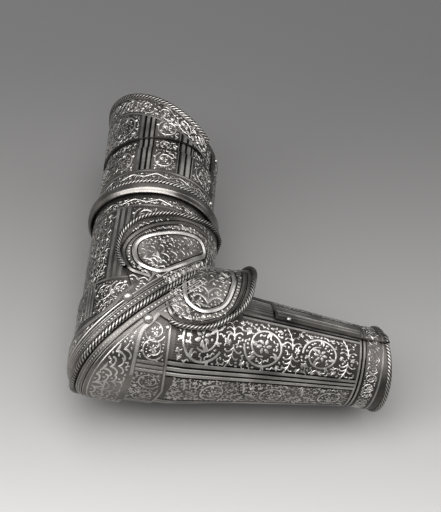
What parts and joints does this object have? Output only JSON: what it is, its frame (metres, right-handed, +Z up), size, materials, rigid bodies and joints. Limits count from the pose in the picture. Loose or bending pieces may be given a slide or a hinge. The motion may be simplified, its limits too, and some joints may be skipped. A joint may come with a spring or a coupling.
{
  "type": "vambrace",
  "caption": "Etched steel arm defence for a bent right arm: hinged forearm tube, winged elbow plate between lames, and a turning upper tube with an open top.",
  "frame": {"origin": "centre of the bounding box on the floor the arm lies on", "axes": "+X from elbow to wrist, +Y from elbow towards the shoulder end, +Z up, away from the inner side it lies on"},
  "size_m": [0.3094, 0.3424, 0.1428],
  "materials": {
    "etched_steel": "etched and blackened ornament under polished steel",
    "plain_steel": "plain darkened steel",
    "rivet_steel": "worn bright"
  },
  "bodies": {
    "forearm": {"lower_cannon_outer": "etched_steel", "door_stud": "rivet_steel", "elbow_hinge_fixed_leaf": "plain_steel", "elbow_hinge_pin": "rivet_steel", "wrist_hinge_fixed_leaf": "plain_steel", "wrist_hinge_pin": "rivet_steel", "lower_lame_rivet_outer": "rivet_steel", "lower_lame_rivet_inner": "rivet_steel"},
    "door": {"lower_cannon_door": "etched_steel", "elbow_hinge_moving_leaf": "plain_steel", "wrist_hinge_moving_leaf": "plain_steel"},
    "lower_lame": {"lower_lame": "etched_steel"},
    "upper_lame": {"upper_lame": "etched_steel"},
    "elbow": {"couter": "etched_steel", "couter_lower_rivet_outer": "rivet_steel", "couter_lower_rivet_inner": "rivet_steel", "couter_upper_rivet_outer": "rivet_steel", "couter_upper_rivet_inner": "rivet_steel"},
    "upper_arm": {"upper_lame_rivet_outer": "rivet_steel", "upper_lame_rivet_inner": "rivet_steel", "upper_cannon": "etched_steel"},
    "turner": {"turner_outer_seam_strip": "plain_steel", "turner_outer_seam_rivet_1": "rivet_steel", "turner_outer_seam_rivet_2": "rivet_steel", "turner_inner_seam_strip": "plain_steel", "turner_inner_seam_rivet_1": "rivet_steel", "turner_inner_seam_rivet_2": "rivet_steel", "turner_outer_plate": "etched_steel", "turner_inner_plate": "etched_steel", "second_lame_rivet_outer": "rivet_steel", "second_lame_rivet_inner": "rivet_steel"},
    "second_lame": {"second_lame": "etched_steel", "top_lame_rivet_outer": "rivet_steel", "top_lame_rivet_inner": "rivet_steel"},
    "top_lame": {"top_lame": "etched_steel"}
  },
  "joints": [
    {"name": "door_hinge", "type": "hinge", "parent": "forearm", "child": "door", "pos_m": [0.04747, -0.08332, 0.01838], "axis": [-0.9987, 0.0509, 0.0069], "range_deg": [0, 50]},
    {"name": "lower_lame_pivot", "type": "hinge", "parent": "forearm", "child": "lower_lame", "pos_m": [-0.0741, -0.13535, 0.07513], "axis": [0.1026, -0.0014, 0.9947], "range_deg": [0, 4]},
    {"name": "couter_lower_pivot", "type": "hinge", "parent": "lower_lame", "child": "elbow", "pos_m": [-0.09331, -0.13203, 0.07712], "axis": [0.1026, -0.0014, 0.9947], "range_deg": [0, 4]},
    {"name": "couter_upper_pivot", "type": "hinge", "parent": "elbow", "child": "upper_lame", "pos_m": [-0.11278, -0.11067, 0.07916], "axis": [0.1026, -0.0014, 0.9947], "range_deg": [0, 4]},
    {"name": "upper_lame_pivot", "type": "hinge", "parent": "upper_lame", "child": "upper_arm", "pos_m": [-0.1144, -0.09114, 0.07935], "axis": [0.1026, -0.0014, 0.9947], "range_deg": [0, 4]},
    {"name": "turner_turn", "type": "hinge", "parent": "upper_arm", "child": "turner", "pos_m": [-0.076, 0.02269, 0.07555], "axis": [0.0868, 0.9962, -0.0076], "range_deg": [-35, 35]},
    {"name": "second_lame_pivot", "type": "hinge", "parent": "turner", "child": "second_lame", "pos_m": [-0.01905, 0.09979, 0.06978], "axis": [0.1026, -0.0014, 0.9947], "range_deg": [-1, 1]},
    {"name": "top_lame_pivot", "type": "hinge", "parent": "second_lame", "child": "top_lame", "pos_m": [-0.04412, 0.09818, 0.07237], "axis": [0.1026, -0.0014, 0.9947], "range_deg": [-2, 2]}
  ],
  "couplings": [
    {"joint": "couter_lower_pivot", "follows": "lower_lame_pivot", "ratio": 1},
    {"joint": "couter_upper_pivot", "follows": "lower_lame_pivot", "ratio": 1},
    {"joint": "upper_lame_pivot", "follows": "lower_lame_pivot", "ratio": 1}
  ]
}
